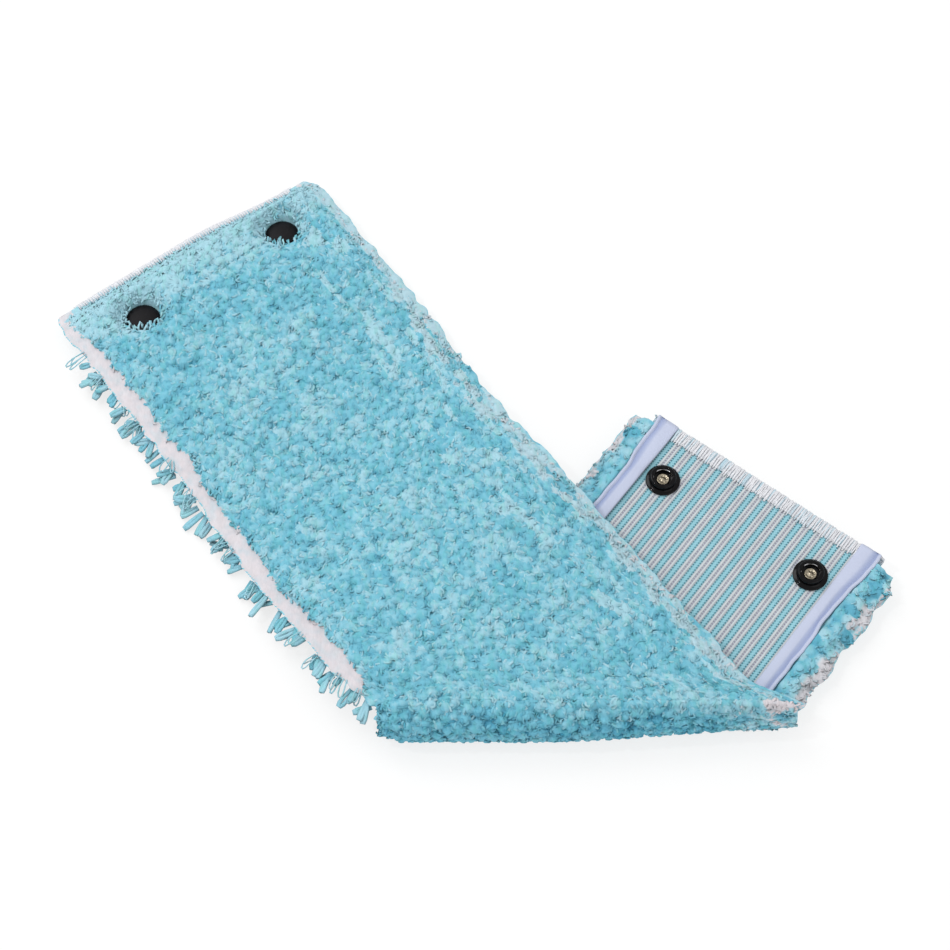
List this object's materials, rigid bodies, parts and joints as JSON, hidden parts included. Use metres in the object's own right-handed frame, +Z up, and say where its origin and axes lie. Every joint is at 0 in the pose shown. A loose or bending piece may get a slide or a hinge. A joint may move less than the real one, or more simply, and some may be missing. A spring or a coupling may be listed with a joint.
{
  "type": "flat mop cover",
  "caption": "Washable flat-mop cover: looped microfibre pile on a striped ground cloth with taped edges and press-stud sockets, folded over on the diagonal.",
  "frame": {"origin": "under the middle of the folded cover's box, at floor level", "axes": "+X along the crease, from the long half's side to the short half's; +Y from the crease towards the two ends; +Z up from the floor"},
  "size_m": [0.3574, 0.283, 0.0265],
  "materials": {
    "pile": "matt looped microfibre yarn",
    "ground_cloth": "ribbed cloth in turquoise and white stripes",
    "edge_tape": "smooth pale tape",
    "overlock_thread": "white sewing thread",
    "stud_enamel": "glossy black enamel",
    "stud_brass": "pale, satin",
    "stud_spring": "bright wire"
  },
  "bodies": {
    "short_half": {"pile_short_half": "pile", "ground_cloth_short_half": "ground_cloth", "pile_crease": "pile", "ground_cloth_crease": "ground_cloth", "edge_tape_short_left": "edge_tape", "edge_tape_short_right": "edge_tape", "edge_tape_crease_left": "edge_tape", "edge_tape_crease_right": "edge_tape", "overlock_seam_short": "overlock_thread", "stud_cap_short_left": "stud_enamel", "stud_post_short_left": "stud_brass", "stud_socket_short_left": "stud_enamel", "stud_spring_short_left": "stud_spring", "stud_cap_short_right": "stud_enamel", "stud_post_short_right": "stud_brass", "stud_socket_short_right": "stud_enamel", "stud_spring_short_right": "stud_spring"},
    "long_half": {"pile_long_half": "pile", "ground_cloth_long_half": "ground_cloth", "edge_tape_long_left": "edge_tape", "edge_tape_long_right": "edge_tape", "overlock_seam_long": "overlock_thread", "stud_cap_long_left": "stud_enamel", "stud_post_long_left": "stud_brass", "stud_socket_long_left": "stud_enamel", "stud_spring_long_left": "stud_spring", "stud_cap_long_right": "stud_enamel", "stud_post_long_right": "stud_brass", "stud_socket_long_right": "stud_enamel", "stud_spring_long_right": "stud_spring"}
  },
  "joints": [
    {"name": "pad_fold", "type": "hinge", "parent": "short_half", "child": "long_half", "pos_m": [0.04815, -0.12835, 0.01325], "axis": [1, 0, 0], "range_deg": [0, 180], "deforming": ["pile_crease", "ground_cloth_crease", "edge_tape_crease_left", "edge_tape_crease_right"]}
  ]
}
